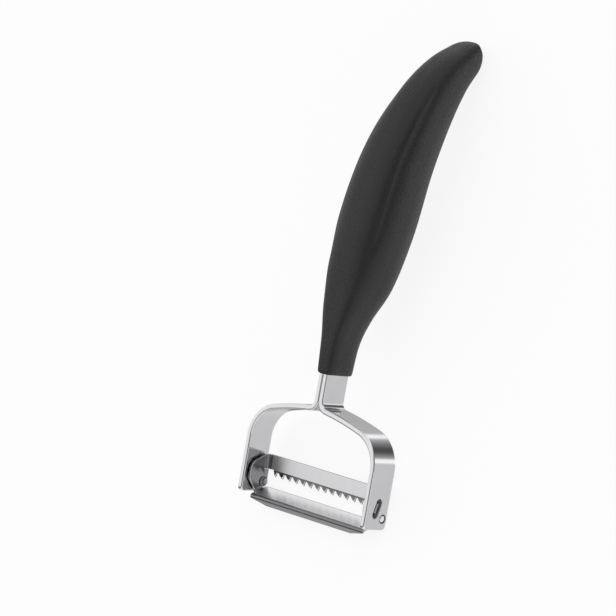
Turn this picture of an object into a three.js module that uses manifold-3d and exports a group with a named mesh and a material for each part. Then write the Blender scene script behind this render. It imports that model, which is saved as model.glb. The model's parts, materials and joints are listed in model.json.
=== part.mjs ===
// A Y-shaped julienne peeler with a swivelling toothed blade, lying on its back.
// The tool is drawn upright first (X across, Y to the back, Z towards the handle, arm ends at Z = 0)
// and the finished tool is then turned about X until it rests on its blade and its handle tip.
// All sizes are millimetres and all angles in names ending in _DEG are degrees.

import * as THREE from "three";
import { mergeVertices } from "three/addons/utils/BufferGeometryUtils.js";
import Module from "manifold-3d";

const wasm = await Module();
wasm.setup();

// Frame: two mirror-image strips of stainless steel, back to back at the tang
const FRAME_WIDTH = 62;
const STRIP_WIDTH = 10.8;
const STRIP_THICKNESS = 2;
const ARM_LENGTH = 19.7;
const SHOULDER_RADIUS = 13.5;
const SHOULDER_SLOPE_DEG = 15;
const FORK_SLOPE_DEG = 7;
const FORK_RADIUS = 2.2;
const TANG_EXPOSED = 9.4;
const TANG_EMBEDDED = 32;
const TANG_NARROW_WIDTH = 6.4;
const TANG_SHOULDER_DEPTH = 5;
const TANG_CORNER_RADIUS = 1;
const ARM_CORNER_RADIUS = 1.5;
const ANCHOR_HOLE_DIAMETER = 3.6;
const ANCHOR_HOLE_INSET = 8;

// Weld that fills the notch where the strips part
const WELD_DEPTH = 3.7;
const WELD_DISH = 0.4;
const WELD_INSET = 0.4;
const WELD_GAP = 0.05;

// Pivot hole and stop slot in each arm
const PIVOT_SETBACK = 3.35;
const PIVOT_HEIGHT = 3.9;
const PIVOT_HOLE_DIAMETER = 3.1;
const SLOT_WIDTH = 2.6;
const SLOT_LENGTH = 6.9;
const SLOT_LEAN_DEG = 13.4;
const SLOT_SETBACK = -0.1;
const SLOT_HEIGHT = 7.4;

// Blade: one stamping with two bars, a toothed edge, a straight edge and two ears bent forward.
// Ears and lower bar are SEAM_STEP thinner on each face than the bends that they run into, and the lip
// is thinner than the lower bar by the same step.
const BLADE_THICKNESS = 0.9;
const EAR_GAP = 0.6;
const UPPER_BEND_RADIUS = 2.4;
const LOWER_BEND_RADIUS = 1.5;
const BEND_LEG = 0.4;
const SEAM_STEP = 0.02;
const UPPER_BAR_SETBACK = 1.25;
const UPPER_BAR_ROOT = 4.65;
const UPPER_BAR_HEIGHT = 5.2;
const UPPER_BAR_LEAN_DEG = 3;
const TOOTH_PITCH = 3.54;
const TOOTH_GAPS = 14;
const TOOTH_LENGTH = 3;
const TOOTH_LEAN_DEG = 20;
const TOOTH_THICKNESS = 0.6;
const TOOTH_FRONT_STEP = 0.12;
const TOOTH_OVERLAP = 0.25;
const TOOTH_BAND = 0.5;
const TOOTH_ROOT_WIDTH = 0.8;
const TOOTH_POINT_WIDTH = 0.2;
const EDGE_SETBACK = 2.95;
const EDGE_DROP = 1.2;
const EDGE_BEVEL = 1.4;
const EDGE_FLAT = 0.15;
const EDGE_LAND = 2.8;
const LOWER_BAR_WIDTH = 8;
const LOWER_BAR_SLOPE_DEG = 22.5;
const LOWER_BAR_END_INSET = 0.8;
const LIP_BEND_RADIUS = 1;
const LIP_SLOPE_DEG = 131;
const LIP_WIDTH = 2.1;
const LIP_END_TAPER = 7;
const LIP_OVERLAP = 0.15;
const EAR_FRONT = 7;
const EAR_SLOT_BACK = 1.9;
const EAR_CORNER_RADIUS = 1.6;
const EAR_BROW_RADIUS = 3;
const EAR_FOOT_INSET = 3.9;
const STOP_TAB_THICKNESS = 0.8;
const STOP_TAB_WIDTH = 3.2;
const STOP_TAB_INSET = 0.5;

// Pivot rivets, fixed in the ears and turning in the arms
const RIVET_DIAMETER = 2.4;
const RIVET_HEAD_DIAMETER = 3.6;
const RIVET_HEAD_HEIGHT = 0.9;
const RIVET_CLEARANCE = 0.05;
const RIVET_END_INSET = 0.15;
const RIVET_END_CHAMFER = 0.3;
const RIVET_RIM = 0.3;

// Handle: soft moulded skin over a rigid core, set back towards the tip.
// Each station is a section square to the spine: its height above the handle's lower end,
// how far the spine stands back there, and the section's depth and width.
const HANDLE_STATIONS = [
  { height: 0, setback: 0.8, depth: 14, width: 6.8 },
  { height: 12, setback: 0.6, depth: 14.8, width: 9.2 },
  { height: 22, setback: 1.6, depth: 17.2, width: 14.4 },
  { height: 34, setback: 4.8, depth: 22.4, width: 20.4 },
  { height: 52, setback: 8.4, depth: 25.4, width: 23.6 },
  { height: 76, setback: 13.6, depth: 24.2, width: 22.2 },
  { height: 95, setback: 21.8, depth: 20.6, width: 18.8 },
  { height: 106, setback: 29.4, depth: 16.8, width: 15.4 },
  { height: 113, setback: 37, depth: 12.8, width: 12.2 },
];
const TIP_LENGTH = 7.8;
const TIP_TAPER = 0.4;
const FRONT_SQUARENESS = 3;
const BACK_SQUARENESS = 2.4;
const SKIN_THICKNESS = 2;
const SKIN_GAP = 0.05;
const CORE_START = 13.5;
const CORE_END = 100;
const TANG_GAP = 0.1;
const ANCHOR_PLUG_OVERLAP = 0.5;

// How finely round shapes are divided
const ROUND_STEPS = 24;
const LIP_BEND_STEPS = 8;
const SKIN_RINGS = 40;
const SKIN_SIDES = 36;
const CORE_RINGS = 18;
const CORE_SIDES = 24;
const TIP_RINGS = 9;

// How far a cut runs past the face it starts from
const CUT_MARGIN = 1;

const STEEL = { color: 0xc9cacd, roughness: 0.3, metalness: 1 };
const GROUND_STEEL = { color: 0xd3d4d6, roughness: 0.25, metalness: 1 };
const WELD_STEEL = { color: 0xb4b4b4, roughness: 0.5, metalness: 1 };
const SOFT_BLACK = { color: 0x2e2e2f, roughness: 0.6, metalness: 0 };
const CORE_BLACK = { color: 0x1d1d1e, roughness: 0.5, metalness: 0 };

const radians = THREE.MathUtils.degToRad;
const ACROSS = new THREE.Vector3(1, 0, 0);
const BACK = new THREE.Vector3(0, 1, 0);
const UP = new THREE.Vector3(0, 0, 1);

// A closed geometry as a solid that can be joined and cut
function solidOf(geometry) {
  const bare = geometry.clone();
  bare.deleteAttribute("normal");
  bare.deleteAttribute("uv");
  const merged = mergeVertices(bare, 1e-4);
  const vertProperties = new Float32Array(merged.attributes.position.array);
  const triVerts = new Uint32Array(merged.index.array);
  return new wasm.Manifold(new wasm.Mesh({ numProp: 3, vertProperties, triVerts }));
}

function geometryOf(solid) {
  const mesh = solid.getMesh();
  const geometry = new THREE.BufferGeometry();
  geometry.setAttribute("position", new THREE.BufferAttribute(new Float32Array(mesh.vertProperties), 3));
  geometry.setIndex(new THREE.BufferAttribute(new Uint32Array(mesh.triVerts), 1));
  return geometry;
}

// A solid with its left and right sides swapped
function mirrored(solid) {
  const geometry = geometryOf(solid);
  geometry.scale(-1, 1, 1);
  const index = geometry.index.array;
  for (let corner = 0; corner < index.length; corner += 3) {
    [index[corner], index[corner + 1]] = [index[corner + 1], index[corner]];
  }
  return solidOf(geometry);
}

// A flat outline pushed along its normal. The outline's first axis follows side, its second follows rise,
// and the push starts at origin.
function pushed(shape, length, origin, side, rise) {
  const settings = { depth: length, bevelEnabled: false, curveSegments: ROUND_STEPS / 2 };
  const geometry = new THREE.ExtrudeGeometry(shape, settings);
  const along = new THREE.Vector3().crossVectors(side, rise);
  const place = new THREE.Matrix4().makeBasis(side, rise, along);
  place.setPosition(origin);
  geometry.applyMatrix4(place);
  return solidOf(geometry);
}

// An outline in the side view (Y, Z), pushed across the tool from one X to another
function sidePrism(shape, fromX, toX) {
  return pushed(shape, toX - fromX, new THREE.Vector3(fromX, 0, 0), BACK, UP);
}

function crossHole(diameter, setback, height, fromX, toX) {
  const shape = new THREE.Shape();
  shape.absarc(setback, height, diameter / 2, 0, 2 * Math.PI, false);
  return sidePrism(shape, fromX, toX);
}

// A closed outline through corners, each rounded by the radius given with it
function roundedOutline(corners) {
  const shape = new THREE.Shape();
  corners.forEach(([y, z, radius], place) => {
    const before = corners[(place + corners.length - 1) % corners.length];
    const after = corners[(place + 1) % corners.length];
    const corner = new THREE.Vector2(y, z);
    const entry = new THREE.Vector2(before[0], before[1]).sub(corner).setLength(radius).add(corner);
    const exit = new THREE.Vector2(after[0], after[1]).sub(corner).setLength(radius).add(corner);
    if (place === 0) {
      shape.moveTo(entry.x, entry.y);
    } else {
      shape.lineTo(entry.x, entry.y);
    }
    if (radius > 0) {
      shape.quadraticCurveTo(y, z, exit.x, exit.y);
    }
  });
  shape.closePath();
  return shape;
}

function namedMesh(name, solid, finish) {
  const mesh = new THREE.Mesh(geometryOf(solid), new THREE.MeshStandardMaterial(finish));
  mesh.name = name;
  return mesh;
}

// Places shared by the pieces
const armOuterX = FRAME_WIDTH / 2;
const armInnerX = armOuterX - STRIP_THICKNESS;
const shoulderAngle = Math.PI / 2 - radians(SHOULDER_SLOPE_DEG);
const forkAngle = Math.PI / 2 - radians(FORK_SLOPE_DEG);
const shoulderCentre = new THREE.Vector2(armOuterX - SHOULDER_RADIUS, ARM_LENGTH);
const forkCentreX = STRIP_THICKNESS + FORK_RADIUS;

// The crown between shoulder and fork is one shallow arc, whose radius closes the frame on the tang
const crownReach = shoulderCentre.x + SHOULDER_RADIUS * Math.cos(shoulderAngle)
  + FORK_RADIUS * Math.cos(forkAngle) - forkCentreX;
const crownRadius = crownReach / (Math.cos(shoulderAngle) - Math.cos(forkAngle));
const crownCentre = new THREE.Vector2(Math.cos(shoulderAngle), Math.sin(shoulderAngle))
  .multiplyScalar(SHOULDER_RADIUS - crownRadius)
  .add(shoulderCentre);
const forkHeight = crownCentre.y + (crownRadius + FORK_RADIUS) * Math.sin(forkAngle);
const handleStart = forkHeight + TANG_EXPOSED;
const tangTop = handleStart + TANG_EMBEDDED;
const tangShoulder = handleStart + TANG_SHOULDER_DEPTH;
const anchorHeight = tangTop - ANCHOR_HOLE_INSET;

// The right strip's bent profile in the front view (X, Z)
function stripProfile() {
  const shape = new THREE.Shape();
  const outerFork = FORK_RADIUS;
  const innerFork = FORK_RADIUS + STRIP_THICKNESS;
  const innerShoulder = SHOULDER_RADIUS - STRIP_THICKNESS;
  shape.moveTo(armOuterX, 0);
  shape.lineTo(armOuterX, ARM_LENGTH);
  shape.absarc(shoulderCentre.x, shoulderCentre.y, SHOULDER_RADIUS, 0, shoulderAngle, false);
  shape.absarc(crownCentre.x, crownCentre.y, crownRadius, shoulderAngle, forkAngle, false);
  shape.absarc(forkCentreX, forkHeight, outerFork, forkAngle + Math.PI, Math.PI, true);
  shape.lineTo(STRIP_THICKNESS, tangTop);
  shape.lineTo(0, tangTop);
  shape.absarc(forkCentreX, forkHeight, innerFork, Math.PI, forkAngle + Math.PI, false);
  shape.absarc(crownCentre.x, crownCentre.y, crownRadius - STRIP_THICKNESS, forkAngle, shoulderAngle, true);
  shape.absarc(shoulderCentre.x, shoulderCentre.y, innerShoulder, shoulderAngle, 0, true);
  shape.lineTo(armInnerX, 0);
  shape.closePath();
  return shape;
}

// The strip seen from the side: full width to just inside the handle, then a narrower tang
function stripOutline() {
  const half = STRIP_WIDTH / 2;
  const narrow = TANG_NARROW_WIDTH / 2;
  return roundedOutline([
    [-half, 0, ARM_CORNER_RADIUS],
    [half, 0, ARM_CORNER_RADIUS],
    [half, tangShoulder, TANG_CORNER_RADIUS],
    [narrow, tangShoulder, 0],
    [narrow, tangTop, TANG_CORNER_RADIUS],
    [-narrow, tangTop, TANG_CORNER_RADIUS],
    [-narrow, tangShoulder, 0],
    [-half, tangShoulder, TANG_CORNER_RADIUS],
  ]);
}

function slotOutline() {
  const half = SLOT_LENGTH / 2 - SLOT_WIDTH / 2;
  const lean = radians(SLOT_LEAN_DEG);
  const radius = SLOT_WIDTH / 2;
  const endY = half * Math.sin(lean);
  const endZ = half * Math.cos(lean);
  const shape = new THREE.Shape();
  shape.absarc(SLOT_SETBACK + endY, SLOT_HEIGHT + endZ, radius, -lean, Math.PI - lean, false);
  shape.absarc(SLOT_SETBACK - endY, SLOT_HEIGHT - endZ, radius, Math.PI - lean, 2 * Math.PI - lean, false);
  shape.closePath();
  return shape;
}

function frameStrip() {
  const frontToBack = new THREE.Vector3(0, STRIP_WIDTH / 2, 0);
  const bent = pushed(stripProfile(), STRIP_WIDTH, frontToBack, ACROSS, UP);
  const pivotHole = crossHole(PIVOT_HOLE_DIAMETER, PIVOT_SETBACK, PIVOT_HEIGHT,
    armInnerX - CUT_MARGIN, armOuterX + CUT_MARGIN);
  return bent
    .intersect(sidePrism(stripOutline(), -CUT_MARGIN, armOuterX + CUT_MARGIN))
    .subtract(sidePrism(slotOutline(), armInnerX - CUT_MARGIN, armOuterX + CUT_MARGIN))
    .subtract(pivotHole)
    .subtract(crossHole(ANCHOR_HOLE_DIAMETER, 0, anchorHeight, -CUT_MARGIN, STRIP_THICKNESS + CUT_MARGIN));
}

// The weld follows both strips' inner bends and ends below in a shallow dish
function forkWeld() {
  const bend = FORK_RADIUS + STRIP_THICKNESS + WELD_GAP;
  const topWidth = WELD_GAP * 2;
  const topAngle = Math.acos((forkCentreX - topWidth) / bend);
  const bottomAngle = Math.asin(WELD_DEPTH / bend);
  const shape = new THREE.Shape();
  shape.absarc(forkCentreX, forkHeight, bend, Math.PI + topAngle, Math.PI + bottomAngle, false);
  const bottomX = forkCentreX - bend * Math.cos(bottomAngle);
  const bottomZ = forkHeight - WELD_DEPTH;
  shape.quadraticCurveTo(0, bottomZ + 2 * WELD_DISH, -bottomX, bottomZ);
  shape.absarc(-forkCentreX, forkHeight, bend, -bottomAngle, -topAngle, false);
  shape.closePath();
  const length = STRIP_WIDTH - 2 * WELD_INSET;
  return pushed(shape, length, new THREE.Vector3(0, length / 2, 0), ACROSS, UP);
}

// Places on the blade, measured from its pivot axis
const earOuterX = armInnerX - EAR_GAP;
const earInnerX = earOuterX - BLADE_THICKNESS;
const upperLean = radians(UPPER_BAR_LEAN_DEG);
const lowerSlope = radians(LOWER_BAR_SLOPE_DEG);
const lipSlope = radians(LIP_SLOPE_DEG);
const upperRise = new THREE.Vector3(0, -Math.sin(upperLean), Math.cos(upperLean));
const upperOutward = new THREE.Vector3(0, Math.cos(upperLean), Math.sin(upperLean));
const lowerRise = new THREE.Vector3(0, Math.cos(lowerSlope), Math.sin(lowerSlope));
const lowerOutward = new THREE.Vector3(0, Math.sin(lowerSlope), -Math.cos(lowerSlope));
const toothRoot = new THREE.Vector3(0, UPPER_BAR_SETBACK, UPPER_BAR_ROOT);
const upperTop = toothRoot.clone().addScaledVector(upperRise, UPPER_BAR_HEIGHT);
const cuttingEdge = new THREE.Vector3(0, EDGE_SETBACK, -EDGE_DROP);
const lowerHalf = earOuterX - LOWER_BAR_END_INSET;
const lipBendCentre = cuttingEdge.clone()
  .addScaledVector(lowerRise, -LOWER_BAR_WIDTH)
  .addScaledVector(lowerOutward, LIP_BEND_RADIUS);
const sheetNormal = (slope) => new THREE.Vector3(0, -Math.sin(slope), Math.cos(slope));
const earReach = (EDGE_SETBACK + EAR_FRONT - EAR_FOOT_INSET) / Math.cos(lowerSlope);
const stopTabSetback = SLOT_SETBACK - PIVOT_SETBACK;
const stopTabHeight = SLOT_HEIGHT - PIVOT_HEIGHT;

// A bar seen end on: the flat web with a short leg bent forward at each end
function channel(bendRadius) {
  const inner = bendRadius - BLADE_THICKNESS;
  const cornerX = earOuterX - bendRadius;
  const cornerDepth = BLADE_THICKNESS - bendRadius;
  const legEnd = cornerDepth - BEND_LEG;
  const shape = new THREE.Shape();
  shape.moveTo(earOuterX, legEnd);
  shape.absarc(cornerX, cornerDepth, bendRadius, 0, Math.PI / 2, false);
  shape.absarc(-cornerX, cornerDepth, bendRadius, Math.PI / 2, Math.PI, false);
  shape.lineTo(-earOuterX, legEnd);
  shape.lineTo(-earInnerX, legEnd);
  shape.absarc(-cornerX, cornerDepth, inner, Math.PI, Math.PI / 2, true);
  shape.absarc(cornerX, cornerDepth, inner, Math.PI / 2, 0, true);
  shape.lineTo(earInnerX, legEnd);
  shape.closePath();
  return shape;
}

// The comb below the upper bar: a plain band and pointed teeth, with rounded gaps between them
function toothedOutline() {
  const combHalf = TOOTH_GAPS * TOOTH_PITCH / 2;
  const point = TOOTH_POINT_WIDTH / 2;
  const root = TOOTH_ROOT_WIDTH / 2;
  const gapSide = -TOOTH_BAND - root;
  const shape = new THREE.Shape();
  shape.moveTo(combHalf, TOOTH_OVERLAP);
  shape.lineTo(-combHalf, TOOTH_OVERLAP);
  shape.lineTo(-combHalf, -TOOTH_LENGTH);
  for (let gap = 0; gap < TOOTH_GAPS; gap += 1) {
    const left = gap * TOOTH_PITCH - combHalf;
    const middle = left + TOOTH_PITCH / 2;
    const right = left + TOOTH_PITCH;
    shape.lineTo(left + point, -TOOTH_LENGTH);
    shape.lineTo(middle - root, gapSide);
    shape.quadraticCurveTo(middle - root, -TOOTH_BAND, middle, -TOOTH_BAND);
    shape.quadraticCurveTo(middle + root, -TOOTH_BAND, middle + root, gapSide);
    shape.lineTo(right - point, -TOOTH_LENGTH);
  }
  shape.lineTo(combHalf, -TOOTH_LENGTH);
  shape.closePath();
  return shape;
}

// The lower bar seen from the side: the straight edge ground to a bevel, the other edge bent down and back
function lowerBarOutline() {
  const front = SEAM_STEP;
  const back = BLADE_THICKNESS - SEAM_STEP;
  const halfTurn = (lipSlope - lowerSlope) / 2;
  const insideRadius = LIP_BEND_RADIUS - back;
  const insideCorner = insideRadius / Math.cos(halfTurn);
  const bend = [];
  for (let step = 0; step <= LIP_BEND_STEPS; step += 1) {
    const normal = sheetNormal(lowerSlope + 2 * halfTurn * step / LIP_BEND_STEPS);
    bend.push(lipBendCentre.clone().addScaledVector(normal, LIP_BEND_RADIUS - front));
  }
  const corners = [
    cuttingEdge.clone().addScaledVector(lowerOutward, front).addScaledVector(lowerRise, -EDGE_BEVEL),
    ...bend,
    lipBendCentre.clone().addScaledVector(sheetNormal(lipSlope), insideRadius),
    lipBendCentre.clone().addScaledVector(sheetNormal(lowerSlope + halfTurn), insideCorner),
    cuttingEdge.clone().addScaledVector(lowerOutward, back),
    cuttingEdge.clone().addScaledVector(lowerOutward, back - EDGE_FLAT),
  ];
  return new THREE.Shape(corners.map(({ y, z }) => new THREE.Vector2(y, z)));
}

// The flat lip below that bend, cut away towards its ends
function lowerLip() {
  const rise = new THREE.Vector3(0, Math.cos(lipSlope), Math.sin(lipSlope));
  const half = lowerHalf - SEAM_STEP;
  const shape = new THREE.Shape();
  shape.moveTo(-half, LIP_OVERLAP);
  shape.lineTo(-half, 0);
  shape.lineTo(LIP_END_TAPER - half, -LIP_WIDTH);
  shape.lineTo(half - LIP_END_TAPER, -LIP_WIDTH);
  shape.lineTo(half, 0);
  shape.lineTo(half, LIP_OVERLAP);
  shape.closePath();
  const thickness = BLADE_THICKNESS - 4 * SEAM_STEP;
  const inside = LIP_BEND_RADIUS - BLADE_THICKNESS + 2 * SEAM_STEP;
  const origin = lipBendCentre.clone().addScaledVector(sheetNormal(lipSlope), inside);
  return pushed(shape, thickness, origin, ACROSS, rise);
}

// The ear seen from the side: it links both bars and carries the rivet and the stop tab
function earOutline() {
  const upperGap = UPPER_BEND_RADIUS - BLADE_THICKNESS;
  const lowerGap = LOWER_BEND_RADIUS - BLADE_THICKNESS;
  const upperBack = toothRoot.clone().addScaledVector(upperOutward, -upperGap);
  const upperTopBack = upperTop.clone().addScaledVector(upperOutward, -upperGap);
  const lowerBack = cuttingEdge.clone().addScaledVector(lowerOutward, -lowerGap);
  const lowerFront = lowerBack.clone().addScaledVector(lowerRise, -earReach);
  return roundedOutline([
    [upperTopBack.y, upperTopBack.z, 0],
    [-EAR_FRONT, stopTabHeight + STOP_TAB_WIDTH, EAR_BROW_RADIUS],
    [-EAR_FRONT, lowerFront.z + EAR_FOOT_INSET, EAR_CORNER_RADIUS],
    [lowerFront.y, lowerFront.z, 0],
    [lowerBack.y, lowerBack.z, 0],
    [EAR_SLOT_BACK, lowerBack.z, 0],
    [EAR_SLOT_BACK, upperBack.z, 0],
    [upperBack.y, upperBack.z, 0],
  ]);
}

function stopTab() {
  const lean = radians(SLOT_LEAN_DEG);
  const side = new THREE.Vector3(0, Math.cos(lean), -Math.sin(lean));
  const rise = new THREE.Vector3(0, Math.sin(lean), Math.cos(lean));
  const shape = new THREE.Shape();
  shape.moveTo(-STOP_TAB_THICKNESS / 2, -STOP_TAB_WIDTH / 2);
  shape.lineTo(STOP_TAB_THICKNESS / 2, -STOP_TAB_WIDTH / 2);
  shape.lineTo(STOP_TAB_THICKNESS / 2, STOP_TAB_WIDTH / 2);
  shape.lineTo(-STOP_TAB_THICKNESS / 2, STOP_TAB_WIDTH / 2);
  shape.closePath();
  const root = new THREE.Vector3(earInnerX + BLADE_THICKNESS / 2, stopTabSetback, stopTabHeight);
  return pushed(shape, armOuterX - STOP_TAB_INSET - root.x, root, side, rise);
}

function julienneBlade() {
  const combOutward = upperLean + radians(TOOTH_LEAN_DEG);
  const combRise = new THREE.Vector3(0, -Math.sin(combOutward), Math.cos(combOutward));
  const combFace = new THREE.Vector3(0, Math.cos(combOutward), Math.sin(combOutward));
  const combBack = toothRoot.clone()
    .addScaledVector(upperOutward, TOOTH_FRONT_STEP)
    .addScaledVector(combFace, TOOTH_THICKNESS);
  const comb = pushed(toothedOutline(), TOOTH_THICKNESS, combBack, ACROSS, combRise);
  const upperBar = pushed(channel(UPPER_BEND_RADIUS), UPPER_BAR_HEIGHT, toothRoot, ACROSS, upperOutward);
  const bendStart = cuttingEdge.clone().addScaledVector(lowerRise, -earReach);
  const lowerBendLength = earReach - EDGE_LAND;
  const lowerBend = pushed(channel(LOWER_BEND_RADIUS), lowerBendLength, bendStart, ACROSS, lowerOutward);
  const lowerBar = sidePrism(lowerBarOutline(), -lowerHalf, lowerHalf);
  const ear = sidePrism(earOutline(), earInnerX + SEAM_STEP, earOuterX - SEAM_STEP);
  const tab = stopTab();
  const holeReach = earOuterX + CUT_MARGIN;
  const rivetHole = crossHole(RIVET_DIAMETER + 2 * RIVET_CLEARANCE, 0, 0, -holeReach, holeReach);
  return upperBar
    .add(comb)
    .add(lowerBend)
    .add(lowerBar)
    .add(lowerLip())
    .add(ear)
    .add(mirrored(ear))
    .add(tab)
    .add(mirrored(tab))
    .subtract(rivetHole);
}

// A rivet with its head inside the blade's trough and its plain end in the arm
function pivotRivet() {
  const headX = earInnerX - RIVET_CLEARANCE;
  const headRadius = RIVET_HEAD_DIAMETER / 2;
  const shankRadius = RIVET_DIAMETER / 2;
  const endX = armOuterX - RIVET_END_INSET;
  const profile = new THREE.Shape();
  profile.moveTo(0, headX - RIVET_HEAD_HEIGHT);
  profile.quadraticCurveTo(shankRadius, headX - RIVET_HEAD_HEIGHT, headRadius, headX - RIVET_RIM);
  profile.lineTo(headRadius, headX);
  profile.lineTo(shankRadius, headX);
  profile.lineTo(shankRadius, endX - RIVET_END_CHAMFER);
  profile.lineTo(shankRadius - RIVET_END_CHAMFER, endX);
  profile.lineTo(0, endX);
  const geometry = new THREE.LatheGeometry(profile.getPoints(4), ROUND_STEPS);
  const turn = new THREE.Matrix4().makeBasis(BACK, ACROSS, UP.clone().negate());
  geometry.applyMatrix4(turn);
  return solidOf(geometry);
}

// The handle's spine and section sizes, smooth through the stations and closed by a round tip
const spinePoints = HANDLE_STATIONS.map(
  ({ height, setback }) => new THREE.Vector3(0, setback, handleStart + height),
);
const sizePoints = HANDLE_STATIONS.map(
  ({ height, depth, width }) => new THREE.Vector3(depth, width, height),
);
const spine = new THREE.CatmullRomCurve3(spinePoints, false, "centripetal");
const sizes = new THREE.CatmullRomCurve3(sizePoints, false, "centripetal");
const spineEnd = spine.getPoint(1);
const spineEndDirection = spine.getTangent(1);

// The section at a place along the handle, from 0 at its lower end to 1 at the last station,
// and from there to 2 at the tip
function handleSection(place) {
  if (place <= 1) {
    const centre = spine.getPoint(place);
    const direction = spine.getTangent(place);
    const size = sizes.getPoint(place);
    return { centre, direction, depth: size.x, width: size.y };
  }
  const beyond = place - 1;
  const round = TIP_TAPER + (1 - TIP_TAPER) * beyond;
  const shrink = Math.sqrt(Math.max(0, 1 - round ** 2) / (1 - TIP_TAPER ** 2));
  const last = HANDLE_STATIONS[HANDLE_STATIONS.length - 1];
  const centre = spineEnd.clone().addScaledVector(spineEndDirection, TIP_LENGTH * beyond);
  return { centre, direction: spineEndDirection, depth: last.depth * shrink, width: last.width * shrink };
}

// A rounded, slightly squared ring of points, drawn in by inset
function sectionRing(place, sides, inset) {
  const { centre, direction, depth, width } = handleSection(place);
  const backward = new THREE.Vector3().crossVectors(direction, ACROSS);
  const ring = [];
  for (let side = 0; side < sides; side += 1) {
    const angle = (side + 0.5) * 2 * Math.PI / sides;
    const across = Math.cos(angle);
    const behind = Math.sin(angle);
    const power = 2 / (behind < 0 ? FRONT_SQUARENESS : BACK_SQUARENESS);
    const x = Math.sign(across) * Math.abs(across) ** power * Math.max(width / 2 - inset, 0);
    const y = Math.sign(behind) * Math.abs(behind) ** power * Math.max(depth / 2 - inset, 0);
    ring.push(centre.clone().addScaledVector(ACROSS, x).addScaledVector(backward, y));
  }
  return ring;
}

// A closed body through rings of equal length, with a point at the middle of each end
function loft(rings) {
  const sides = rings[0].length;
  const points = rings.flat();
  const faces = [];
  for (let row = 0; row + 1 < rings.length; row += 1) {
    for (let side = 0; side < sides; side += 1) {
      const next = (side + 1) % sides;
      const low = row * sides;
      const high = low + sides;
      faces.push(low + side, low + next, high + next, low + side, high + next, high + side);
    }
  }
  const total = (ring) => ring.reduce((sum, point) => sum.add(point), new THREE.Vector3());
  const first = points.push(total(rings[0]).divideScalar(sides)) - 1;
  const last = points.push(total(rings[rings.length - 1]).divideScalar(sides)) - 1;
  const top = (rings.length - 1) * sides;
  for (let side = 0; side < sides; side += 1) {
    const next = (side + 1) % sides;
    faces.push(first, next, side, last, top + side, top + next);
  }
  const geometry = new THREE.BufferGeometry().setFromPoints(points);
  geometry.setIndex(faces);
  return solidOf(geometry);
}

// Evenly spread rings from one place along the handle to another
function handleRings(count, sides, inset, from, to) {
  const rings = [];
  for (let ring = 0; ring < count; ring += 1) {
    const share = ring / (count - 1);
    rings.push(sectionRing(from + (to - from) * share, sides, inset));
  }
  return rings;
}

// The place along the spine at a height above the handle's lower end, found by halving
function placeAtHeight(height) {
  let low = 0;
  let high = 1;
  while (high - low > 1e-6) {
    const middle = (low + high) / 2;
    if (spine.getPoint(middle).z - handleStart < height) {
      low = middle;
    } else {
      high = middle;
    }
  }
  return low;
}

// Room for the tang: the strips' side outline, widened by a gap
function tangRoom(gap) {
  const half = STRIP_WIDTH / 2 + gap;
  const narrow = TANG_NARROW_WIDTH / 2 + gap;
  const shape = new THREE.Shape();
  shape.moveTo(-half, handleStart - CUT_MARGIN);
  shape.lineTo(half, handleStart - CUT_MARGIN);
  shape.lineTo(half, tangShoulder + gap);
  shape.lineTo(narrow, tangShoulder + gap);
  shape.lineTo(narrow, tangTop + gap);
  shape.lineTo(-narrow, tangTop + gap);
  shape.lineTo(-narrow, tangShoulder + gap);
  shape.lineTo(-half, tangShoulder + gap);
  shape.closePath();
  return sidePrism(shape, -STRIP_THICKNESS - gap, STRIP_THICKNESS + gap);
}

function coreBody(inset) {
  const from = placeAtHeight(CORE_START);
  const to = placeAtHeight(CORE_END);
  return loft(handleRings(CORE_RINGS, CORE_SIDES, inset, from, to));
}

// Plastic that ran through the tang's anchor hole when the core was moulded
function anchorPlug() {
  const reach = STRIP_THICKNESS + TANG_GAP + ANCHOR_PLUG_OVERLAP;
  return crossHole(ANCHOR_HOLE_DIAMETER - 2 * TANG_GAP, 0, anchorHeight, -reach, reach);
}

function handleCore() {
  return coreBody(SKIN_THICKNESS + SKIN_GAP).subtract(tangRoom(TANG_GAP)).add(anchorPlug());
}

function handleSkin() {
  const body = handleRings(SKIN_RINGS - TIP_RINGS, SKIN_SIDES, 0, 0, 1);
  for (let ring = 1; ring < TIP_RINGS; ring += 1) {
    const place = 1 + Math.sin((ring / TIP_RINGS) * Math.PI / 2);
    body.push(sectionRing(place, SKIN_SIDES, 0));
  }
  return loft(body).subtract(coreBody(SKIN_THICKNESS)).subtract(tangRoom(TANG_GAP));
}

// The upright tool, with the blade and its rivets in a group of their own on the pivot axis
const tool = new THREE.Group();
const strip = frameStrip();
tool.add(namedMesh("frame_strip_right", strip, STEEL));
tool.add(namedMesh("frame_strip_left", mirrored(strip), STEEL));
tool.add(namedMesh("fork_weld", forkWeld(), WELD_STEEL));
tool.add(namedMesh("handle_core", handleCore(), CORE_BLACK));
tool.add(namedMesh("handle_skin", handleSkin(), SOFT_BLACK));

const swivel = new THREE.Group();
swivel.position.set(0, PIVOT_SETBACK, PIVOT_HEIGHT);
const rivet = pivotRivet();
swivel.add(namedMesh("julienne_blade", julienneBlade(), GROUND_STEEL));
swivel.add(namedMesh("pivot_rivet_right", rivet, STEEL));
swivel.add(namedMesh("pivot_rivet_left", mirrored(rivet), STEEL));
tool.add(swivel);

// Corners of the upright tool in the side view, split into the head and the handle
tool.updateMatrixWorld(true);
const headCorners = [];
const handleCorners = [];
tool.traverse((piece) => {
  if (!piece.isMesh) return;
  const corners = piece.name.startsWith("handle") ? handleCorners : headCorners;
  const position = piece.geometry.attributes.position;
  for (let place = 0; place < position.count; place += 1) {
    corners.push(new THREE.Vector3().fromBufferAttribute(position, place).applyMatrix4(piece.matrixWorld));
  }
});

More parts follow.
